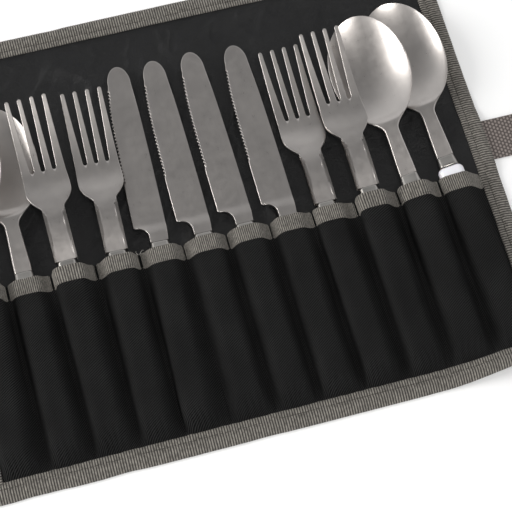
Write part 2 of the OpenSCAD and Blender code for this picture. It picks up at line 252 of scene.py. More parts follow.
# ---- materials
class Nodes:
    """Short names for building a node material."""

    def __init__(self, name):
        self.material = bpy.data.materials.new(name)
        self.material.use_nodes = True
        self.tree = self.material.node_tree
        self.tree.nodes.clear()
        self.shader = self.node("ShaderNodeBsdfPrincipled")
        self.node("ShaderNodeOutputMaterial", {"Surface": self.shader.outputs[0]})

    def put(self, socket, value):
        if hasattr(value, "is_output"):
            self.tree.links.new(value, socket)
        else:
            socket.default_value = value

    def set(self, **values):
        for key, value in values.items():
            self.put(self.shader.inputs[key.replace("_", " ")], value)

    def node(self, kind, inputs=(), **settings):
        """A new node. inputs are its first ones in order, or a dictionary of them."""
        node = self.tree.nodes.new(kind)
        for key, value in settings.items():
            setattr(node, key, value)
        for key, value in inputs.items() if isinstance(inputs, dict) else enumerate(inputs):
            self.put(node.inputs[key], value)
        return node

    def math(self, operation, *values):
        return self.node("ShaderNodeMath", values, operation=operation).outputs[0]

    def add(self, a, b):
        return self.math("ADD", a, b)

    def mul(self, product, *factors):
        for factor in factors:
            product = self.math("MULTIPLY", product, factor)
        return product

    def uv(self):
        """Along and across the cloth, in mm."""
        node = self.node("ShaderNodeUVMap", uv_map="cloth")
        split = self.node("ShaderNodeSeparateXYZ", (node.outputs[0],))
        return split.outputs[0], split.outputs[1]

    def speck(self, scale, detail=2.0, roughness=0.5, u=1, v=1, at=None):
        """Noise over the cloth, with u and v scaled first, or at the coordinates given."""
        if not at:
            scaled = [self.mul(*pair) for pair in zip(self.uv(), (u, v))]
            at = self.node("ShaderNodeCombineXYZ", scaled).outputs[0]
        inputs = {"Vector": at, "Scale": scale, "Detail": detail, "Roughness": roughness}
        return self.node("ShaderNodeTexNoise", inputs).outputs[0]

    def place(self):
        return self.node("ShaderNodeTexCoord").outputs["Object"]

    def wave(self, value, period):
        """0 to 1 and back, once each period."""
        return self.math("MULTIPLY_ADD", self.math("SINE", self.mul(value, 2 * math.pi / period)), 0.5, 0.5)

    def between(self, value, low, high, a=0.0, b=1.0):
        return self.node("ShaderNodeMapRange", (value, low, high, a, b)).outputs[0]

    def blend(self, factor, a, b):
        return self.node("ShaderNodeMix", {0: factor, 6: (*a, 1), 7: (*b, 1)}, data_type="RGBA").outputs[2]

    def bump(self, height, depth, strength=1.0):
        """depth in mm"""
        inputs = {"Height": height, "Distance": depth / 1000, "Strength": strength}
        self.set(Normal=self.node("ShaderNodeBump", inputs).outputs[0])


def steel(name, base=(0.545, 0.512, 0.488), dark=(0.475, 0.447, 0.428)):
    n = Nodes(name)
    grain = n.speck(1.0, 1.0, 0.4, u=2.6, v=0.07)
    smudge = n.between(n.speck(0.22, 4.0, 0.65), 0.25, 0.75, 0.27, 0.35)
    n.set(Metallic=1.0, Base_Color=n.blend(n.between(n.speck(0.06, 3.0), 0.3, 0.7), dark, base))
    n.set(Roughness=n.add(smudge, n.between(grain, 0.2, 0.8, -0.02, 0.02)))
    n.bump(grain, 0.004, 0.3)
    return n.material


def twill():
    n = Nodes("pocket_twill")
    u, v = n.uv()
    slant = n.add(n.math("SUBTRACT", n.mul(u, 0.47), n.mul(v, 0.88)), n.mul(n.speck(0.5), 0.5))
    line = n.wave(slant, 1.15)
    fuzz = n.speck(3.2, 3.0, 0.7)
    # painted highlight and shade: the twill lines are lighter on the crests of their bump and darker in its
    # grooves; the fuzz and broad specks are random tone
    light = n.mul(n.math("POWER", line, 1.6), n.between(fuzz, 0.3, 0.75, 0.25, 1.1),
                  n.between(n.speck(0.045, 3.0), 0.25, 0.75, 0.7, 1.15))
    n.set(Base_Color=n.blend(light, (0.001, 0.001, 0.0011), (0.05, 0.05, 0.0495)),
          Roughness=n.between(fuzz, 0.2, 0.8, 0.8, 0.95), Specular_IOR_Level=0.05)
    height = n.add(n.mul(line, 0.75), n.mul(n.wave(n.add(u, v), 0.52), 0.15))
    n.bump(n.add(height, n.mul(fuzz, 0.35)), 0.3)
    return n.material


def lining():
    n = Nodes("lining_nylon")
    u, v = n.uv()
    broad = n.between(n.speck(0.03, 4.0, 0.6), 0.3, 0.7)
    crease = n.speck(0.16, 5.0, 0.6)
    n.set(Base_Color=n.blend(broad, (0.002, 0.002, 0.0022), (0.0055, 0.0055, 0.006)),
          Roughness=n.between(crease, 0.3, 0.7, 0.3, 0.44), Specular_IOR_Level=0.32)
    n.bump(n.add(n.mul(n.wave(u, 0.42), n.wave(v, 0.42), 0.1), crease), 1.0, 0.8)
    return n.material


def shell_cloth():
    n = Nodes("shell_fabric")
    u, v = n.uv()
    weave = n.mul(n.wave(u, 0.9), n.wave(v, 0.9))
    fuzz = n.speck(2.0, 3.0, 0.6)
    # painted highlight and shade: lighter where the weave's bump is raised and darker between its threads; the
    # fuzz is random tone
    n.set(Base_Color=n.blend(n.mul(weave, fuzz), (0.006, 0.006, 0.0065), (0.026, 0.026, 0.027)),
          Roughness=n.between(fuzz, 0.2, 0.8, 0.6, 0.8), Sheen_Weight=0.1, Sheen_Roughness=0.5)
    n.bump(n.add(weave, n.mul(fuzz, 0.4)), 0.25, 0.7)
    return n.material


def grosgrain():
    """Ribbed ribbon: u runs along the ribbon and v across it. A rib's top is at u = 0."""
    n = Nodes("grosgrain")
    u, v = n.uv()
    ends = n.wave(v, 0.5)
    fuzz = n.speck(2.4, 3.0, 0.7)
    lumps = n.speck(0.85, 2.0, 0.6, v=0.55)
    # painted shade: the colour darkens in the grooves between the ribs, where the ribbon's geometry dips, and a
    # little between the cross threads; the fuzz, specks and lumps are random tone
    tone_and_hollow_shade = n.mul(n.between(n.wave(n.add(u, RIB / 4), RIB), 0.1, 0.8, 0.05, 1.12),
                 n.between(ends, 0, 1, 0.8, 1.0), n.between(fuzz, 0.25, 0.75, 0.68, 1.15),
                 n.between(n.speck(0.16, 4.0, 0.6, v=0.6), 0.3, 0.7, 0.78, 1.12),
                 n.between(lumps, 0.3, 0.7, 0.45, 1.3))
    n.set(Base_Color=n.blend(tone_and_hollow_shade, (0.024, 0.022, 0.02), (0.325, 0.303, 0.27)),
          Roughness=n.between(fuzz, 0.2, 0.8, 0.68, 0.88),
          Sheen_Weight=0.04, Sheen_Roughness=0.4, Specular_IOR_Level=0.25)
    n.bump(n.add(n.mul(ends, 0.5), n.add(fuzz, lumps)), 0.3)
    return n.material


def webbing():
    n = Nodes("webbing")
    u, v = n.uv()
    fuzz = n.speck(2.0, 3.0, 0.7)
    odd = n.math("MODULO", n.math("FLOOR", n.math("DIVIDE", u, WEAVE_ROW)), 2.0)
    # painted shade: the colour darkens between the weave's raised dots, the same dots strap_piece raises in the
    # geometry; the fuzz is random tone
    dots = n.mul(n.wave(n.math("SUBTRACT", u, WEAVE_ROW / 4), WEAVE_ROW),
                 n.wave(n.add(v, n.mul(odd, WEAVE_DOT / 2)), WEAVE_DOT))
    tone_and_hollow_shade = n.mul(n.between(dots, 0.0, 0.5, 0.15, 1.0), n.between(fuzz, 0.25, 0.75, 0.6, 1.15))
    n.set(Base_Color=n.blend(tone_and_hollow_shade, (0.04, 0.033, 0.031), (0.275, 0.236, 0.218)),
          Roughness=n.between(fuzz, 0.2, 0.8, 0.65, 0.85),
          Sheen_Weight=0.04, Sheen_Roughness=0.4, Specular_IOR_Level=0.25)
    n.bump(n.add(n.speck(1.6, 2.0, u=0.5, v=3.0), fuzz), 0.15, 0.8)
    return n.material


def thread(name, dark, light):
    n = Nodes(name)
    fuzz = n.speck(2500.0, at=n.place())
    n.set(Base_Color=n.blend(fuzz, dark, light), Roughness=0.85, Specular_IOR_Level=0.1)
    n.bump(fuzz, 0.05, 0.6)
    return n.material


def plastic():
    n = Nodes("handle_plastic")
    cloud = n.between(n.speck(0.09, 3.0), 0.3, 0.7)
    scuff = n.speck(0.8, 4.0, 0.7, u=3.0, v=0.5)
    n.set(Base_Color=n.blend(cloud, (0.74, 0.735, 0.78), (0.82, 0.815, 0.85)),
          Roughness=n.between(scuff, 0.4, 0.8, 0.16, 0.3),
          Subsurface_Weight=0.05, Subsurface_Scale=0.002, Coat_Weight=0.15, Coat_Roughness=0.1)
    n.bump(scuff, 0.01, 0.3)
    return n.material


def fastener(name, dark, light, scale):
    n = Nodes(name)
    loops = n.speck(scale, 4.0, 0.7, at=n.place())
    n.set(Base_Color=n.blend(loops, dark, light), Roughness=0.9, Sheen_Weight=0.3, Sheen_Roughness=0.6)
    n.bump(loops, 0.5)
    return n.material


MAT = {
    "head": steel("steel_satin"),
    "ferrule": steel("steel_ferrule", (0.42, 0.402, 0.38), (0.36, 0.345, 0.326)),
    "handle": plastic(),
    "twill": twill(),
    "lining": lining(),
    "shell": shell_cloth(),
    "ribbon": grosgrain(),
    "webbing": webbing(),
    "thread_grey": thread("thread_grey", (0.03, 0.028, 0.026), (0.10, 0.095, 0.085)),
    "thread_black": thread("thread_black", (0.002, 0.002, 0.002), (0.006, 0.006, 0.006)),
    "thread_pale": thread("thread_pale", (0.45, 0.43, 0.4), (0.7, 0.68, 0.63)),
    "hook": fastener("hook_tape", (0.006, 0.006, 0.006), (0.03, 0.03, 0.03), 1400.0),
    "loop": fastener("loop_tape", (0.008, 0.008, 0.008), (0.035, 0.035, 0.036), 900.0),
}

# ---- utensils, along +Y from the ring
SPINE = [[0, 5], [8, 5.6], [45, 5.4], [80, 4.7], [100, 3.7]]
EDGE = [[0, -12.7], [45, -12.7], [78, -12.1], [94, -10.8], [101, -9.6]]
FORK_RISE = [[0, 0], [12, 1.5], [24, 2.2], [36, 0.9], [48, -0.9], [58, -0.9], [72, 0.9], [85, 3.4], [97.5, 6.2]]
FORK_T = [[0, 3.4], [14, 3], [30, 2.4], [50, 2.1], [97.5, 1.5]]
FORK_HALF = [[0, 5], [10, 4.6], [25, 4.15], [31, 6.2], [36, 10.4], [41, 12.7], [54.5, 12.4], [97.5, 11.8]]
SPOON_RISE = [[0, 0], [12, 1.5], [26, 2.9], [36, 3.2], [66, 3.1], [101.7, 3.6]]
SPOON_T = [[0, 3.4], [14, 3], [27, 2.6], [38, 1.8], [50, 1.2], [101.7, 1.2]]
FORK_LEN, SPOON_LEN = 97.5, 101.7


def plate(stations, bounds, rise, thick, round_r, extra=lambda x, u: 0):
    """A plate with soft edges: one or more strips side by side.

    bounds(u) gives each strip's (left, right); strips that meet at a station share their points.
    """
    cols = array([0, 0.008, 0.022, 0.045, 0.085, 0.15, 0.24, 0.37, 0.5])
    cols = concatenate([cols, 1 - cols[-2::-1]])
    sides = array([bounds(u) for u in stations]).T  # left and right, strip, station
    c, (_, strips, m) = len(cols), sides.shape
    grid = zeros((strips, c, m, 2))
    grid[..., 0] = mix(sides[0][:, None], sides[1][:, None], cols[:, None])
    grid[..., 1] = stations
    # the outline: every strip's side that is not shared with the next strip
    shared = zeros((strips, 2, m), bool)
    shared[:-1, 1] = shared[1:, 0] = np.abs(grid[:-1, -1, :, 0] - grid[1:, 0, :, 0]) < 1e-6
    free = ~(shared[..., 1:] & shared[..., :-1])
    segments = []
    for k in range(strips):
        for side in (0, 1):
            line, keep = grid[k, -side], free[k, side]
            segments.append(concatenate([line[:-1][keep], line[1:][keep]], 1))
        segments.append(concatenate([grid[k, :-1, -1], grid[k, 1:, -1]], 1))
    segments = concatenate(segments)
    segments = segments[np.linalg.norm(segments[:, 2:] - segments[:, :2], axis=1) > 1e-9]
    points = grid.reshape(-1, 2)
    size = len(points)
    far = zeros(size)  # distance to the outline
    a, d = segments[:, :2], segments[:, 2:] - segments[:, :2]
    for s in range(0, size, 400):
        p = points[s : s + 400, None]
        t = clip(((p - a) * d).sum(-1) / (d * d).sum(-1), 0, 1)
        far[s : s + 400] = np.linalg.norm(p - a - t[..., None] * d, axis=-1).min(1)
    x, u = points.T
    half = thick(x, u) / 2
    r = minimum(round_r(u), half)
    drop = r - sqrt(maximum(0, r**2 - maximum(0, r - far) ** 2))
    drop = minimum(drop + extra(x, u), half - 0.02)
    middle = rise(x, u)
    verts = concatenate([
        stack([x, u, middle + half - drop], 1),
        stack([x, u, middle - half + drop], 1),
    ])
    faces = []
    for k in range(strips):
        base = k * c * m
        faces += [grid_faces(c, m, base), grid_faces(c, m, base + size, flip=True)]
        side, end, whole = base + arange(m), base + arange(c) * m, np.ones(c - 1, bool)
        for line, keep, flip in ((side, free[k, 0], True), (side + (c - 1) * m, free[k, 1], False),
                                 (end, whole, False), (end + m - 1, whole, True)):
            p, q = line[:-1][keep], line[1:][keep]
            quad = stack([p, p + size, q + size, q], -1)
            faces.append(quad[:, ::-1] if flip else quad)
    return verts, concatenate(faces).tolist()


def knife_mesh():
    tooth, tooth_depth, bevel = 2.2, 0.95, 0.6
    tip_at, tip_len, tip_x = 101, 11, -3.0
    up = concatenate([
        linspace(0, 3.5, 5)[:-1],
        3.5 + 6.5 * np.sin(np.radians(linspace(0, 90, 13))),
        [10.12, 10.4, 10.8, 11.6, 13, 14.5],
        linspace(16, 38, 12)[:-1],
        arange(38, 97.8, tooth / 8),
        linspace(97.8, tip_at, 6)[:-1],
        tip_at + tip_len * np.sin(np.radians(linspace(0, 89.2, 22))),
    ])

    def gap(u, start, end):
        """0 at a tooth's point and 1 between two teeth, fading in from start and out to end."""
        between = 0.5 - 0.5 * np.cos(2 * math.pi * (u - 38) / tooth)
        return between * ease((u - start) / 2) * ease((end - u) / 2)

    def outline(side, u):
        x = float(curve(side, u))
        return x if u <= tip_at else tip_x + (x - tip_x) * math.sqrt(max(0, 1 - ((u - tip_at) / tip_len) ** 2))

    def left(u):
        if u <= 3.5:
            return -5.0
        if u <= 10.0001:
            return -11.5 + math.sqrt(max(0, 6.5**2 - (u - 3.5) ** 2))
        if u <= 11.0:
            return mix(-11.5, -12.7, min(1, (u - 10) / 0.8) ** 0.5)
        return outline(EDGE, u) + tooth_depth * float(gap(u, 38, 97.8))

    def thick(x, u):
        blade = mix(0.55, 1.8, clip((x + 12.7) / 11.7, 0, 1) ** 0.8)
        return mix(3.6, blade, ease((u - 4) / 9))

    return plate(up, lambda u: [(left(u), outline(SPINE, u))], lambda x, u: 0 * u, thick,
                 lambda u: mix(0.2, 0.3, ease(u / 10)),
                 lambda x, u: bevel * ease(1.1 - (x - curve(EDGE, u))) * gap(u, 37.5, 98.3))


def fork_mesh():
    slot_y, slot_r, tip_r = 54.5, 1.2, 1.1
    gap, tine_w = 6.34, 2.2
    tine_pitch = (2 * 11.8 - tine_w) / 3
    end_y = FORK_LEN - tip_r
    up = concatenate([
        linspace(0, 24, 13)[:-1], linspace(24, 44, 26)[:-1], linspace(44, slot_y, 8)[:-1],
        slot_y + slot_r * (1 - np.cos(np.radians(linspace(0, 90, 8)))), linspace(56.5, end_y, 34),
        end_y + tip_r * np.sin(np.radians(linspace(15, 88, 6))),
    ])

    def tines(u):
        h = float(curve(FORK_HALF, min(u, end_y)))
        edges = [-h]
        for k in (-1, 0, 1):
            centre, w = k * gap, 0
            if u > slot_y:
                t = (u - slot_y) / (FORK_LEN - slot_y)
                centre = k * mix(gap, tine_pitch, t)
                w = mix(slot_r, (tine_pitch - tine_w) / 2, ease(t) * 0.25 + t * 0.75)
                if u < slot_y + slot_r:
                    w = math.sqrt(max(0, slot_r**2 - (slot_r - (u - slot_y)) ** 2))
            edges += [centre - w, centre + w]
        edges.append(h)
        sides = list(zip(edges[::2], edges[1::2]))
        if u > end_y:
            s = math.sqrt(max(0, 1 - ((u - end_y) / tip_r) ** 2))
            sides = [((a + b) / 2 - (b - a) / 2 * s, (a + b) / 2 + (b - a) / 2 * s) for a, b in sides]
        return sides

    def rise(x, u):
        # a fork's palm is slightly dished across
        return curve(FORK_RISE, u) + 0.5 * ease((u - 30) / 12) * ease((75 - u) / 30) * ((x / 12.7) ** 2 - 0.5)

    return plate(up, tines, rise, lambda x, u: curve(FORK_T, u),
                 lambda u: mix(0.2, 0.32, ease((u - 20) / 20)))


def spoon_half(u):
    """Half the spoon's width at u: the neck, a smooth join, and the oval bowl."""
    mid, half, w = 66.7, 35.0, 46.4 / 2
    neck_w, neck_end, bowl_at = 4.15, 27, 40
    oval = w * sqrt(maximum(0, 1 - ((u - mid) / half) ** 2))
    t0 = (bowl_at - mid) / half
    root = math.sqrt(1 - t0 * t0)
    t = clip((u - neck_end) / (bowl_at - neck_end), 0, 1)
    join = hermite(t, neck_w, w * root, 0, -w / half * t0 / root * (bowl_at - neck_end))
    return where(u <= neck_end, mix(5.0, neck_w, ease(u / neck_end)), where(u < bowl_at, join, oval))


def spoon_rings():
    up = concatenate([linspace(0, 26, 20)[:-1], linspace(26, 46, 26)[:-1],
                         46 + (SPOON_LEN - 0.02 - 46) * np.sin(np.radians(linspace(0, 90, 58)))])
    v = -np.cos(linspace(0, math.pi, 35))
    turn = np.radians([60, 30, 0, -30, -60])
    rings = []
    for u in up:
        w = float(spoon_half(u))
        thick = float(curve(SPOON_T, u))
        bowl = float(ease((u - 28) / 18))
        flat_t = clip(0.72 + (1 - np.abs(v)) * 0.28 / 0.1, 0, 1)
        t = thick / 2 * mix(flat_t, mix(0.45, 1, sqrt(maximum(0, 1 - v * v))), bowl)
        along = clip((u - 33) / (SPOON_LEN - 33), 0, 1)
        deep = 6.4 * math.sin(math.pi * along**0.9) ** 0.75 * float(ease((u - 30) / 9))
        r = min(thick * 0.225 * mix(0.35, 1, bowl), w * 0.5)
        z = float(curve(SPOON_RISE, u)) - deep * (1 - v * v) ** 0.82
        x = (w - r) * v
        round_x, round_z = w - r + r * np.cos(turn), np.sin(turn)
        x, z = (concatenate(line) for line in zip(
            (x, z + t), (round_x, z[-1] + t[-1] * round_z),
            (x[::-1], (z - t)[::-1]), (-round_x, z[0] - t[0] * round_z)))
        rings.append(stack([x, 0 * x + u, z], 1))
    return array(rings)


def stadium_ring(y, w, t, n=48):
    """Points round a stadium at y, w wide and t thick."""
    a = linspace(0, 2 * math.pi, n, endpoint=False) + math.pi / n
    return stack([np.sign(np.cos(a)) * (w - t) / 2 + t / 2 * np.cos(a), 0 * a + y, t / 2 * np.sin(a)], 1)


def handle_rings():
    front, rear = -FERRULE - 0.1, -GRIP
    d = concatenate([6 * (1 - np.cos(np.radians(linspace(8, 90, 14)))), [12, 30, 50, 70]])
    rings = []
    for y in concatenate([front - d, (rear + d[:14])[::-1]]):
        e = min(front - y, y - rear)
        r = 3.2 if y > -50 else 6.0  # the front shoulders are tighter than the rear end
        w = HANDLE_W / 2 - r + math.sqrt(max(0, r * r - max(0, r - e) ** 2))
        h = 0.8 + math.sqrt(max(0, 9 - max(0, 3 - e) ** 2))
        rings.append(stadium_ring(y, 2 * max(w, h + 0.01), 2 * h))
    return array(rings)


def ferrule_rings():
    rows = [(-0.12, 9.4, 3.0), (-0.16, 9.9, 3.4), (-0.4, 10.05, 3.62), (-1.0, 10.15, 3.8), (-2.5, 10.5, 4.4),
            (-4.5, 11.0, 5.2), (-5.8, 11.4, 5.85), (-6.25, 11.4, 5.85), (-6.45, 11.1, 5.6), (-6.5, 10.4, 5.0)]
    return array([stadium_ring(*row, 40) for row in rows])


def placement(i):
    """Rotation and ring position of utensil i."""
    _, dx, ring_y, lean, tilt, twist = PLACES[i]
    (cl, sl), (ct, st), (cw, sw) = ((math.cos(rad(a)), math.sin(rad(a))) for a in (-lean, tilt, -twist))
    rz = array([[cl, -sl, 0], [sl, cl, 0], [0, 0, 1]])
    rx = array([[1, 0, 0], [0, ct, -st], [0, st, ct]])
    ry = array([[cw, 0, sw], [0, 1, 0], [-sw, 0, cw]])
    rear_z = FLOOR + 0.35 + HANDLE_T / 2 - HANDLE_FLAT * sw
    return rz @ rx @ ry, array([seam_x(i + 0.5) + dx, ring_y, rear_z + GRIP * st])


def utensils():
    shapes = {"knife": knife_mesh(), "fork": fork_mesh()}
    for name, rings in (("spoon", spoon_rings()), ("ferrule", ferrule_rings()), ("handle", handle_rings())):
        shapes[name] = sweep_mesh(rings)[:2]
    for i, (name, *_) in enumerate(PLACES):
        turn, ring = placement(i)
        for part, shape, slot in (("head", name.split("_")[0], "steel"), ("ferrule", "ferrule", "steel"),
                                  ("handle", "handle", "handle_plastic")):
            verts, faces = shapes[shape]
            uv = verts[[k for face in faces for k in face]][:, :2] + array([37.0 * i, 0])
            piece = new_piece(f"look_{name}_{part}", verts @ turn.T + ring, faces, uv, MAT[part])
            clean(piece)
            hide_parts(f"{name}_{part}")
            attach(piece, name)


def clean(piece):
    """Joins doubled points and turns the faces outwards."""
    work = bmesh.new()
    work.from_mesh(piece.data)
    bmesh.ops.remove_doubles(work, verts=work.verts, dist=2e-6)
    bmesh.ops.dissolve_degenerate(work, edges=work.edges, dist=1e-7)
    bmesh.ops.recalc_face_normals(work, faces=work.faces)
    work.to_mesh(piece.data)
    work.free()


utensils()

# ---- the roll's fabric
FOLDS = [-PITCH, 0.0, PITCH]
BODIES = ["left_wing", "spine_left", "spine_right", "right_wing"]
# axis across the side, the roll's edge there, and the way in from it
SIDES = {"bottom": (1, BOTTOM, 1), "left": (0, -HALF_W, 1), "top": (1, TOP, -1), "right": (0, HALF_W, -1)}
CUT = 1.5  # the cloth is cut this far right of each fold, inside the seam's valley
PER = 60  # steps across one pocket
PANEL_T = 0.7


def lift(x, y):
    """How far the cloth is off the table: the curled corner, and the strap under the right edge."""
    over = 1.45 * ease((x - 138) / 16) * ease((STRAP_Y + 24 - y) / 11) * ease((y - STRAP_Y + 24) / 11)
    return corner_lift(x, y) + over


def raised(points):
    """Points lifted with the cloth, and drawn in a little where the corner curls."""
    p = array(points, float)
    up = corner_lift(p[..., 0], p[..., 1])
    p[..., 2] += lift(p[..., 0], p[..., 1])
    p[..., 0] -= 0.12 * up
    p[..., 1] += 0.3 * up
    return p


def body_at(x):
    return BODIES[int(np.searchsorted(FOLDS, x, side="left"))]


def part_range(part):
    """Left and right end of the cloth's part 0, 1 or 2."""
    left = -HALF_W if part == 0 else FOLDS[part - 1] + CUT
    return left, HALF_W if part == 2 else FOLDS[part] + CUT


def fold_piece(piece):
    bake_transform(piece)


def columns(part, step, inset):
    """x of a flat cloth's columns, close together at the fold."""
    left, right = part_range(part)
    left += inset * (part == 0)
    right -= inset * (part == 2)
    near = FOLDS[part] + 0.3 * arange(-5, 6)
    parts = [near]
    if left < near[0] - 0.4:
        parts.insert(0, linspace(left, near[0], max(2, int((near[0] - left) / step) + 1))[:-1])
    if right > near[-1] + 0.4:
        parts.append(linspace(near[-1], right, max(2, int((right - near[-1]) / step) + 1))[1:])
    return concatenate(parts)


def flat_layer(name, part, step, inset, ys, top, bottom, material):
    xs = columns(part, step, inset)
    x, y = np.meshgrid(xs, ys, indexing="ij")
    up = raised(stack([x, y, top(x, y)], -1))
    low = raised(stack([x, y, bottom(x, y)], -1))
    verts, faces, uv = sheet_mesh(up, low, stack([x, y], -1))
    piece = new_piece(name, verts, faces, uv, material)
    fold_piece(piece)
    return piece, (xs[-1] - xs[0]) / 1000


def from_edge(x, y):
    return minimum(HALF_W - np.abs(x), minimum(y - BOTTOM, TOP - y))


def wrinkles(x, y):
    """Soft slanting folds of the nylon, flatter under the utensils."""
    a, b = 0.80 * x - 0.60 * y, 0.60 * x + 0.80 * y
    bend = 9 * noise(x, y, 55, 4)
    soft = 1 - np.abs(noise((a + bend) * 2.6 + 900, b + 900, 34, 11))
    fine = 1 - np.abs(noise((a - 0.5 * bend) * 2.2 + 700, b + 700, 15, 12))
    swell = noise(x + 300, y + 300, 24, 13)
    h = 0.8 * soft**5 + 0.4 * fine**4 + 0.25 * swell
    size = mix(mix(1.3, 0.5, ease((np.abs(x) - 55) / 20)), 1.7, ease((y - 112) / 22))
    edge = ease((from_edge(x, y) - 10.5) / 7) * ease((y - 3) / 8)
    height = maximum(0, h) * size * edge
    r = HANDLE_T / 2
    for i, (name, *_) in enumerate(PLACES):  # lower where a handle slides over it
        turn, ring = placement(i)
        lean, _, tilt = turn[:, 1] / turn[1, 1]
        drift = PULL * turn[0, 1] if name == "knife_1" else 0  # it comes straight out, not along its lean
        lane = np.abs(x - ring[0] - (y - ring[1]) * lean + drift / 2)
        lane = maximum(0, lane - abs(drift) / 2)
        under = FLOOR + 0.2 - LINING_Z + (y - ring[1] + GRIP) * tilt
        under = under + r - sqrt(r * r - clip(lane - HANDLE_FLAT, 0, r) ** 2)
        height = where(lane < HANDLE_FLAT + r, minimum(height, under), height)
    return height


def seam_shape(i, y):
    """Outline over utensil i's handle at y, from seam to seam, as points (x, z), and its length."""
    r = HANDLE_T / 2 + 0.3 + PANEL_T
    turn, ring = placement(i)
    axis = turn @ array([0, 1, 0])
    mid = ring - min(max((ring[1] - y) / axis[1], 0), GRIP - 3) * axis
    side = turn @ array([HANDLE_FLAT, 0, 0])
    (xl, _, zl), (xr, _, zr) = mid - side, mid + side
    fl, fr = seam_x(i) + 0.9, seam_x(i + 1) - 0.9
    al = math.atan2(zl - FLOOR, xl - fl) + math.asin(min(1, r / math.hypot(xl - fl, zl - FLOOR)))
    ar = math.atan2(zr - FLOOR, fr - xr) + math.asin(min(1, r / math.hypot(fr - xr, zr - FLOOR)))
    top = math.atan2(zr - zl, xr - xl)
    foot = FLOOR + PANEL_T
    a = math.pi / 2 + linspace(al, top, 12)
    b = math.pi / 2 + linspace(top, -ar, 12)
    px = concatenate([[seam_x(i), fl + PANEL_T / math.tan(al)], xl + r * np.cos(a), xr + r * np.cos(b),
                         [fr - PANEL_T / math.tan(ar), seam_x(i + 1)]])
    pz = concatenate([[foot, foot], zl + r * np.sin(a), zr + r * np.sin(b), [foot, foot]])
    s = concatenate([[0], np.cumsum(hypot(np.diff(px), np.diff(pz)))])
    even = linspace(0, s[-1], PER + 1)
    px, pz = np.interp(even, s, px), np.interp(even, s, pz)
    for _ in range(3):
        wx = concatenate([[2 * px[0] - px[1]], px, [2 * px[-1] - px[-2]]])
        wz = concatenate([[pz[1]], pz, [pz[-2]]])
        px, pz = ((w[:-2] + 2 * w[1:-1] + w[2:]) / 4 for w in (wx, wz))
    return px, pz, s[-1]


def seam_rise(seam, y):
    """The stiff ribbon holds the seams up near the mouths, less where the roll folds."""
    if not 0 < seam < POCKETS:
        return 0 * y
    return (1.4 if seam_x(seam) in FOLDS else 3.9) * ease((y + 16) / 17)


def ridges(ys):
    """The pocket fabric's upper face at each y: points (column, row, 3), outward normals and arc length."""
    grid = zeros((POCKETS * PER + 1, len(ys), 3))
    length = 0.0
    for j, y in enumerate(ys):
        for i in range(POCKETS):
            px, pz, s = seam_shape(i, y)
            length = max(length, s)
            rear = placement(i)[1][1] - GRIP * 0.995
            keep = 1 - (1 - clip((y + 97.0) / (rear + 97.0), 0, 1)) ** 2.2
            low = clip(1 - (pz - pz[0]) / 7, 0, 1)
            for off, seam in ((px - px[0], i), (px[-1] - px, i + 1)):
                pz = pz + seam_rise(seam, y) * low * exp(-((off / 4.5) ** 2))
            rows = slice(i * PER, (i + 1) * PER + 1)
            grid[rows, j, 0] = mix(seam_x(i) + PITCH * linspace(0, 1, PER + 1), px, keep)
            grid[rows, j, 1] = y
            grid[rows, j, 2] = mix(FLOOR + PANEL_T, pz, keep)
    along = np.gradient(grid[..., 0], axis=0), np.gradient(grid[..., 2], axis=0)
    size = hypot(*along)
    return grid, stack([-along[1] / size, 0 * size, along[0] / size], -1), length


def slack(grid):
    """Small swellings of the pocket fabric, only outwards, and puckers next to the bottom ribbon."""
    k = arange(grid.shape[0])[:, None]
    free = np.sin(np.pi * (k % PER) / PER) ** 0.6
    x, y = grid[..., 0], grid[..., 1]
    u = k * 0.52
    soft = 0.5 + 0.5 * noise(u + 200, y + 200, 11, 21)
    creased = clip(1 - np.abs(noise(u * 0.7 + y * 0.25 + 300, y * 1.5 + 500, 8, 22)) * 1.6, 0, 1) ** 3
    pucker = 0.5 + 0.5 * np.sin(2 * np.pi * (x / 3.4 + 0.5 * noise(x + 300, y + 300, 9, 23)))
    near = ease((-78 - y) / 17) * ease((y + 98) / 3)
    return free * (0.34 * soft + 0.16 * creased) + near * 0.6 * pucker * (0.35 + 0.65 * free)


def tucked(g, z_far=0.0, z_near=0.0):
    """A grid with two more columns at each end, which go under the edge ribbon."""
    def moved(column, d, z):
        return column + array([d, 0, z])[: g.shape[-1]]

    return concatenate([moved(g[:1], -2.5, z_far), moved(g[:1], -0.8, z_near), g,
                           moved(g[-1:], 0.8, z_near), moved(g[-1:], 2.5, z_far)])


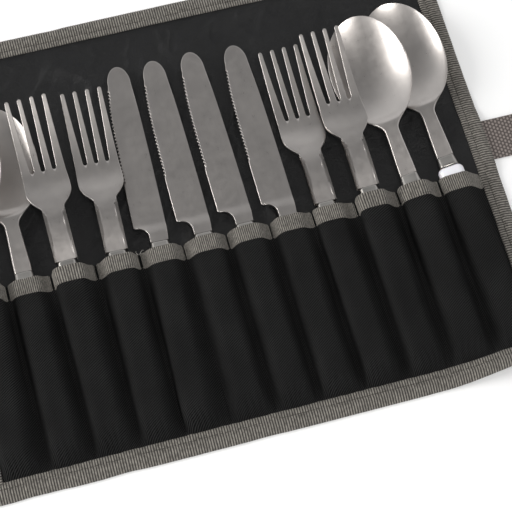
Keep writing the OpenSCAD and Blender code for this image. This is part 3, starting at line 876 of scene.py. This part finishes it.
def pocket_layers():
    """The pocket fabric's parts and the mouth ribbon's, each with its flat size in metres."""
    pieces = []

    def cut(name, cuts, top, low, uv, high, material):
        for part in range(3):
            cols = slice(cuts[part], cuts[part + 1] + 1)
            verts, faces, uvs = sheet_mesh(raised(top[cols]), raised(low[cols]), uv[cols])
            piece = new_piece(f"{name}_{part + 1}", verts, faces, uvs, MAT[material])
            fold_piece(piece)
            pieces.append((piece, (uv[cols][-1, 0, 0] - uv[cols][0, 0, 0]) / 1000, high / 1000))

    ys = concatenate([linspace(-98.5, -84, 22)[:-1], linspace(-84, 2.4, 82)])
    grid, normal, arc = ridges(ys)
    grid = grid + normal * slack(grid)[..., None]
    low = grid - normal * (PANEL_T - 0.02)
    u = arange(grid.shape[0]) / PER * arc
    uv = stack(np.meshgrid(u, ys, indexing="ij"), -1)
    cuts = [0] + [int((fold / PITCH + POCKETS / 2) * PER) + 3 for fold in FOLDS[:2]] + [grid.shape[0] - 1]
    cut("look_pocket_panel", [0, cuts[1] + 2, cuts[2] + 2, cuts[3] + 4], tucked(grid, -0.35, -0.05),
        tucked(low, 0.02, 0.02), tucked(uv), ys[-1] - ys[0], "twill")

    # the ribbon round the mouths: both leaves at once, rounded over at the mouth
    # y, and height of the front above the fabric
    rows = array([
        [0.0, -0.3], [0.0, 0.12], [0.12, 0.34], [0.5, 0.44], [1.0, 0.4], [1.25, 0.22], [1.5, 0.38], [2.2, 0.5],
        [4.0, 0.52], [6.0, 0.52], [7.6, 0.52], [8.7, 0.48], [9.2, 0.34], [9.45, 0.1], [9.5, -0.12],
    ])
    ys, front = rows.T
    back = array([-0.72] * 12 + [-0.68, -0.55, -0.3])
    outer = front > 0.05
    fine = 3  # ribs need more points along the ribbon than the fabric
    base, normal, arc = ridges(ys)
    k = arange((base.shape[0] - 1) * fine + 1) / fine
    low_k = minimum(np.floor(k).astype(int), base.shape[0] - 2)
    base, normal = (mix(g[low_k], g[low_k + 1], (k - low_k)[:, None, None]) for g in (base, normal))
    s = k[:, None] / PER * arc
    t = (k[:, None] % PER) / PER
    off = minimum(t, 1 - t) * arc  # distance to the nearest seam
    rib_s = s + 0.12 * noise(s + 50, 50, 6, 31)
    rib = (0.5 + 0.5 * np.cos(2 * np.pi * rib_s / RIB)) * clip((off - 0.5) / 0.7, 0, 1)
    puff = 0.2 * noise(s + 80, 20, 7, 32)
    pinch = exp(-((off / 1.1) ** 2))
    top = base + normal * (front + (0.17 * rib + 0.5 * puff**2) * outer)[..., None]
    low = base + normal * back[:, None]
    wave = 0.22 * noise(s + 10, 70, 5, 33)
    for g in (top, low):
        y = g[..., 1]
        g[..., 1] = 4.6 + (y - 4.6) * (1 - 0.24 * pinch) + wave * ease(y / MOUTH) - 0.35 * pinch
    top[..., 2] -= 0.2 * pinch * outer
    uv = stack([rib_s + 0 * ys, ys + 0 * s], -1)
    cut("look_mouth_ribbon", [fine * c for c in cuts], top, low, uv, 10.5, "ribbon")
    return pieces


def over_pockets(y):
    """How much higher the edge ribbon lies, being over the pocket fabric too."""
    return 0.72 * ease((3 - y) / 5)


def edge_height(d, b):
    """Height of the edge ribbon's outer face on top, at distance d in from the edge, b higher up."""
    z = np.interp(d, *zip(
        (0.1, 0.9), (0.22, 1.3), (0.6, 1.75), (1.3, 2.12), (2.4, 2.45), (3.8, 2.68), (5.2, 2.78), (6.4, 2.7),
        (7.1, 2.45), (7.5, 2.12), (CREASE, 1.95), (8.0, 2.08), (8.4, 2.26), (9.0, 2.34), (10.2, 2.34),
        (10.9, 2.27), (11.3, 2.1), (11.5, 1.85)))
    return z + b * ease((d - 0.5) / 6)


def edge_sections():
    """Stations round the ribbon: (d, kind), kind 0 top, 1 bottom, 2 inside bottom, 3 inside top."""
    top = [11.5, 11.35, 11.0, 10.3, 9.4, 8.7, 8.2, 7.95, CREASE, 7.55, 7.3,
           6.9, 6.3, 5.4, 4.4, 3.4, 2.5, 1.7, 1.0, 0.5, 0.2]
    low = [0.1, 0.3, 1.0, 2.5, 6.0, 11.0, 11.5]
    inner = [11.4, 6.0, 2.0, 0.75]
    back = [0.75, 2.0, 4.5, 7.75, 11.4]
    return [(d, kind) for kind, row in enumerate((top, low, inner, back)) for d in row]


def edge_z(d, kind, b):
    if kind == 0:
        return edge_height(d, b)
    if kind == 1:
        return np.interp(d, [0.1, 0.3, 1.0, 2.5, 11.0, 11.5], [0.6, 0.25, 0.06, 0.01, 0.01, 0.12])
    if kind == 2:
        return 0 * d + 0.5
    return edge_height(d, b) - 0.5 - 0.06 * (d > 9)


def round_corner(p, radius=3.0):
    dx, dy = HALF_W - np.abs(p[..., 0]), minimum(p[..., 1] - BOTTOM, TOP - p[..., 1])
    a, b = maximum(0, radius - dx), maximum(0, radius - dy)
    both = (a > 0) & (b > 0)
    size = where(both, maximum(a, b) / maximum(1e-9, hypot(a, b)), 1.0)
    p[..., 0] -= np.sign(p[..., 0]) * a * (1 - size)
    p[..., 1] -= where(p[..., 1] > 25, 1, -1) * b * (1 - size)
    return p


def on_side(side, along, inward, z):
    """Points at a distance in from one side of the roll."""
    axis, edge, way = SIDES[side]
    across = edge + way * inward
    return stack([along, across, z] if axis else [across, along, z], -1)


def ribbon_side(side, start, end):
    """One side of the edge ribbon, from start to end along it."""
    a = linspace(start, end, int(round((end - start) / (RIB / 5))) + 1)
    level = side in ("bottom", "top")
    mid, half = (0.0, HALF_W) if level else ((BOTTOM + TOP) / 2, (TOP - BOTTOM) / 2)
    room = maximum(0.1, half - np.abs(a - mid))  # to the mitre
    sections = edge_sections()
    seed = list(SIDES).index(side) + 1
    rib_a = a + 0.13 * noise(a + 500, 9, 6, 40 + seed)
    rib = 0.5 + 0.5 * np.cos(2 * np.pi * rib_a / RIB)
    sway = noise(a + 30, 30, 26, 80 + seed) + 0.5 * noise(a + 30, 30, 9, 90 + seed)
    sway = 0.45 * ease((room - 6) / 10) * sway
    grid = zeros((len(a), len(sections), 3))
    across = zeros((len(a), len(sections)))
    outer, last = 0.0, None
    for k, (d0, kind) in enumerate(sections):
        d = minimum(d0, room)
        b = over_pockets(on_side(side, a, d, 0 * a)[:, 1])
        z = edge_z(d, kind, b)
        if kind == 0:
            swell = 0.2 * noise(a + 200, d * 0.7 + 50, 8, 50 + seed)
            swell = swell + 0.09 * noise(a * 2.2 + 400, d * 2 + 90, 3, 70 + seed)
            z = z + (0.2 * rib + swell) * clip(d0 / 1.2, 0.5, 1)
            frayed = 0.2 * rib - 0.16 * noise(a + 900, 0, 3, 60 + seed)
            d = d - 0.22 * rib * (d0 < 0.6) - frayed * (d0 > 11.2)
            for fold in FOLDS if level else ():  # it lies low over the folds
                z = minimum(z, mix(z, 2.3 + b, exp(-(((a - fold) / 5) ** 2))))
        d = d + 0.4 * np.abs(sway) + 0.6 * sway * (d0 < 9)
        grid[:, k] = on_side(side, a, d, z)
        at = float(edge_z(array(d0), kind, 0.0))
        if last is not None:
            outer += math.hypot(d0 - last[0], at - last[1])
        last = (d0, at)
        across[:, k] = outer
    return grid, stack([rib_a[:, None] + 0 * across, across], -1)


def edge_pieces():
    tip = 0.1
    made = []
    for part in range(3):
        left, right = part_range(part)
        ends = max(left, -HALF_W + tip), min(right, HALF_W - tip)
        runs = [("bottom", *ends), ("top", *ends)]
        if part != 1:
            runs.append(("right" if part else "left", BOTTOM + tip, TOP - tip))
        verts, faces, uvs = zeros((0, 3)), [], []
        for run in runs:
            grid, uv = ribbon_side(*run)
            v, f, w = sweep_mesh(raised(round_corner(grid)), uv)
            faces += [[k + len(verts) for k in face] for face in f]
            verts = concatenate([verts, v])
            uvs.append(w)
        piece = new_piece(
            f"look_edge_ribbon_{part + 1}", verts, faces, concatenate(uvs), MAT["ribbon"])
        fold_piece(piece)
        made.append((piece, sum(b - a for _, a, b in runs) / 1000))
    return made


def strap_piece(name, x0, x1, round_end=False):
    half, soft = STRAP_W / 2, 0.9  # soft is how wide the rounded edge is
    xs = linspace(x0, x1, int((x1 - x0) / 0.32) + 1)
    v = -np.cos(linspace(0, math.pi, 9)) * soft
    flat = half - soft
    vs = concatenate([v[:5] - flat, linspace(-flat, flat, 52)[1:-1], v[4:] + flat])
    x, v = np.meshgrid(xs, vs, indexing="ij")
    if round_end:
        reach = sqrt(maximum(0, 1 - (v / (half + 0.01)) ** 2)) * half
        tail = x1 - half
        x = where(x > tail, tail + (x - tail) / half * reach, x)
    u = x - 150.0
    row = np.floor(u / WEAVE_ROW)
    dot = 0.5 + 0.5 * np.sin(2 * np.pi * (v + WEAVE_DOT / 2 * (row % 2)) / WEAVE_DOT)
    dot = np.sin(np.pi * u / WEAVE_ROW) ** 2 * dot
    edge = clip((half - np.abs(v)) / soft, 0, 1)
    edge = sqrt(edge * (2 - edge))
    if round_end:
        from_tip = clip((x1 - half + reach - x) / 0.8, 0, 1)
        edge = minimum(edge, 0.35 + 0.65 * sqrt(from_tip))
    mid = 0.15 + STRAP_T / 2
    thick = (STRAP_T / 2 - 0.14) * (0.25 + 0.75 * edge)
    y = STRAP_Y + v + 0.12 * noise(x + 300, 10, 14, 71)
    up = stack([x, y, mid + thick + 0.26 * dot * edge], -1)
    low = stack([x, y, mid - thick - 0.12 * (1 - dot) * edge], -1)
    verts, faces, uv = sheet_mesh(up, low, stack([u, v], -1))
    piece = new_piece(name, verts, faces, uv, MAT["webbing"])
    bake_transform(piece)
    return piece


def patch(name, x0, x1, half_w, z0, z1, pile, material, body, seed):
    """A strip of hook or loop tape with a woven border and its pile."""
    y0, y1 = STRAP_Y - half_w, STRAP_Y + half_w
    n, m = int((x1 - x0) / 0.4), int((y1 - y0) / 0.4)
    x, y = np.meshgrid(linspace(x0, x1, n + 1), linspace(y0, y1, m + 1), indexing="ij")
    inside = minimum(minimum(x - x0, x1 - x), minimum(y - y0, y1 - y))
    edge = sqrt(clip(inside / 0.5, 0, 1))
    tuft = (0.5 + 0.5 * noise(x + 40, y + 40, 0.85, seed)) * ease((inside - 1.2) / 0.5)
    sign = 1 if z1 > z0 else -1
    outer = stack([x, y, z0 + (z1 - z0) * (0.35 + 0.25 * edge) + sign * pile * tuft], -1)
    sewn = stack([x, y, z0 + 0 * x], -1)
    verts, faces, uv = sheet_mesh(*(outer, sewn)[::sign], stack([x, y], -1))
    piece = new_piece(name, verts, faces, uv, MAT[material])
    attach(piece, body)
    return piece


def stitches():
    """Sewing threads, gathered by the body they ride on."""
    grey = {b: Threads(0.17) for b in BODIES}
    black = {b: Threads(0.24) for b in BODIES}
    rng = np.random.default_rng(5)

    def lay(bunch, a, b, bow, radius=None):
        body = body_at((a[0] + b[0]) / 2)
        bunch[body].add(*raised([a, b]), bow, radius)

    # round the edge ribbon, in its crease
    stitch, pitch = 2.3, 2.85
    for side in ("bottom", "top", "left", "right"):
        axis, _, way = SIDES[side]
        a, hi = (-153, 153) if axis else (BOTTOM + 8, TOP - 8)
        while a < hi - 2.4:
            if axis and min(abs((a + 1.2) - f) for f in FOLDS) < 2.2:
                a += 1.1
                continue
            j = rng.uniform(-0.08, 0.08, 2)
            ends = on_side(side, array([a, a + stitch]), CREASE + way * j, 0 * j)
            ends[:, 2] = 2.16 + over_pockets(ends[0, 1])
            lay(grey, *ends, 0.12)
            a += pitch
    # down the seams between the pockets
    for k in range(1, POCKETS):
        x = seam_x(k)
        y = -95.5
        while y < -1.5:
            j = rng.uniform(-0.1, 0.1, 2)
            a, b = ((x + dx - 0.02, at, 2.36 + seam_rise(k, at)) for dx, at in zip(j, (y, y + 2.1)))
            lay(black, a, b, 0.12)
            y += 2.7
        # the bar that closes the mouth ribbon at the seam
        fold = x in FOLDS
        for n in range(0 if fold else 9):
            y = 1.1 + n * 0.85 + rng.uniform(-0.12, 0.12)
            z = 2.62 + seam_rise(k, y)
            lay(black, (x - 0.85, y, z), (x + 0.8, y + rng.uniform(-0.35, 0.35), z), 0.22, 0.26)
        z = 2.85 + seam_rise(k, 4.5)
        for dx in (-0.02,) if fold else (-0.44, -0.02, 0.4):
            lay(black, (x + dx, 0.4, z), (x + dx, 8.6, z), 0.1, 0.28)
    for bunch, material, word, slot in ((grey, "thread_grey", "ribbon", "grosgrain"),
                                        (black, "thread_black", "seam", "pocket_twill")):
        for body, threads in bunch.items():
            if threads.verts:
                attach(threads.piece(f"look_{word}_stitches_{body}", MAT[material], slot), body)
    # two short loose ends at the mouths
    loose = Threads(0.12)
    for points in (
        [(-49.6, 8.7, 6.6), (-48.6, 10.4, 5.6), (-47.6, 11.6, 4.6), (-46.6, 11.9, 3.4)],
        [(-50.3, 8.6, 6.6), (-51.3, 10.6, 5.0), (-51.0, 12.4, 3.2)],
    ):
        for a, b in zip(points, points[1:]):
            loose.add(a, b, 0.15)
    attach(loose.piece("look_loose_thread", MAT["thread_pale"], "grosgrain"), "left_wing")


def fabric():
    bottom, top = BOTTOM + 0.8, TOP - 0.8
    ys = concatenate([linspace(bottom, -2, 45)[:-1], linspace(-2, top, 120)])
    shells, linings = [], []
    for part in range(3):
        shell, w = flat_layer(
            f"look_outer_shell_{part + 1}", part, 2.8, 0.8, linspace(bottom, top, 92),
            lambda x, y: 0.97 + 0 * x, lambda x, y: mix(0.55, 0.03, ease((from_edge(x, y) - 11.6) / 1.2)),
            MAT["shell"])
        cloth, _ = flat_layer(
            f"look_lining_{part + 1}", part, 1.5, 0.8, ys,
            lambda x, y: LINING_Z + wrinkles(x, y), lambda x, y: 1.02 + 0.8 * wrinkles(x, y),
            MAT["lining"])
        shells.append(shell)
        linings.append(cloth)
    for k, (piece, w, l) in enumerate(pocket_layers()):
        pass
    for (piece, length), under in zip(edge_pieces(), shells):
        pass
    for part, panel in ((0, "left"), (0, "spine_left"), (2, "spine_right"), (2, "right")):
        for word in ("outer_shell", "lining", "pocket_panel", "mouth_ribbon", "edge_ribbon"):
            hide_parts(f"{panel}_{word}")
    joint = 196.0  # the strap's two pieces meet here
    side = strap_piece("look_strap_side", 152.0, joint)
    tail = strap_piece("look_strap_tail", joint, STRAP_X2, True)
    hook = patch("look_hook_tape", 261.45, 306.45, 10, 1.6, 2.2, 0.4, "hook", "strap_tail", 81)
    loop = patch("look_loop_tape", -133, -67, 12.5, 0.14, 0.0, 0.05, "loop", "left_wing", 82)
    for piece, size, under, node in (
        (side, (0.025, 0.044), "floor", "strap_side"),
        (tail, (0.025, STRAP_X2 / 1000 - 0.196), "floor", "strap_end"),
        (hook, (0.045, 0.02), tail, "hook_patch"), (loop, (0.066, 0.025), "floor", "loop_patch"),
    ):
        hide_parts(node)
    stitches()


# ---- floor, light and camera
def studio():
    paint = Nodes("floor_paint")
    paint.set(Base_Color=(0.96, 0.96, 0.96, 1), Roughness=0.9)
    corners = [(x, y, -0.02) for x, y in ((-3000, -3000), (3000, -3000), (3000, 3000), (-3000, 3000))]
    new_piece("floor", corners, [[0, 1, 2, 3]], material=paint.material)

    world = bpy.data.worlds.new("studio")
    bpy.context.scene.world = world
    world.use_nodes = True
    tree = world.node_tree
    tree.nodes.clear()
    out, sky, at, split, fade = (tree.nodes.new("ShaderNode" + kind) for kind in (
        "OutputWorld", "Background", "TexCoord", "SeparateXYZ", "MapRange"))
    sky.inputs["Color"].default_value = (0.98, 0.99, 1.0, 1)
    # dim straight above, where the flat blades mirror it, and bright all round
    fade.interpolation_type = "SMOOTHSTEP"
    for socket, value in zip(fade.inputs[1:5], (0.55, 0.9, 0.84, 0.25)):
        socket.default_value = value
    for source, socket in (
        (at.outputs["Generated"], split.inputs[0]), (split.outputs[2], fade.inputs[0]),
        (fade.outputs[0], sky.inputs["Strength"]), (sky.outputs[0], out.inputs[0]),
    ):
        tree.links.new(source, socket)

    for name, at, size, power in (("top", (0.04, -0.45, 1.27), 0.38, 6.6),
                                  ("left", (-1.6, 0.35, 0.85), 0.9, 23.0)):
        data = bpy.data.lights.new(name, "AREA")
        data.energy, data.color, data.size = power, (1.0, 0.985, 0.965), size
        lamp = add_object(name, data)
        lamp.location = at
        lamp.rotation_euler = (-Vector(at)).to_track_quat("-Z", "Y").to_euler()

    a, e, roll = rad(-20.16), rad(68.59), rad(5.12)
    back = Vector((math.sin(a) * math.cos(e), -math.cos(a) * math.cos(e), math.sin(e)))
    x = Vector((0, 0, 1)).cross(back).normalized()
    y = back.cross(x)
    right = x * math.cos(roll) + y * math.sin(roll)
    up = -x * math.sin(roll) + y * math.cos(roll)
    data = bpy.data.cameras.new("photo_view")
    data.lens, data.sensor_width = 115.93, 36.0
    camera = add_object("photo_view", data)
    place = Vector((0.0135, -0.006, 0)) + 0.9234 * back
    camera.matrix_world = Matrix.Translation(place) @ Matrix((right, up, back)).transposed().to_4x4()
    bpy.context.scene.camera = camera
    bpy.context.scene.view_settings.view_transform = "Standard"


fabric()
studio()
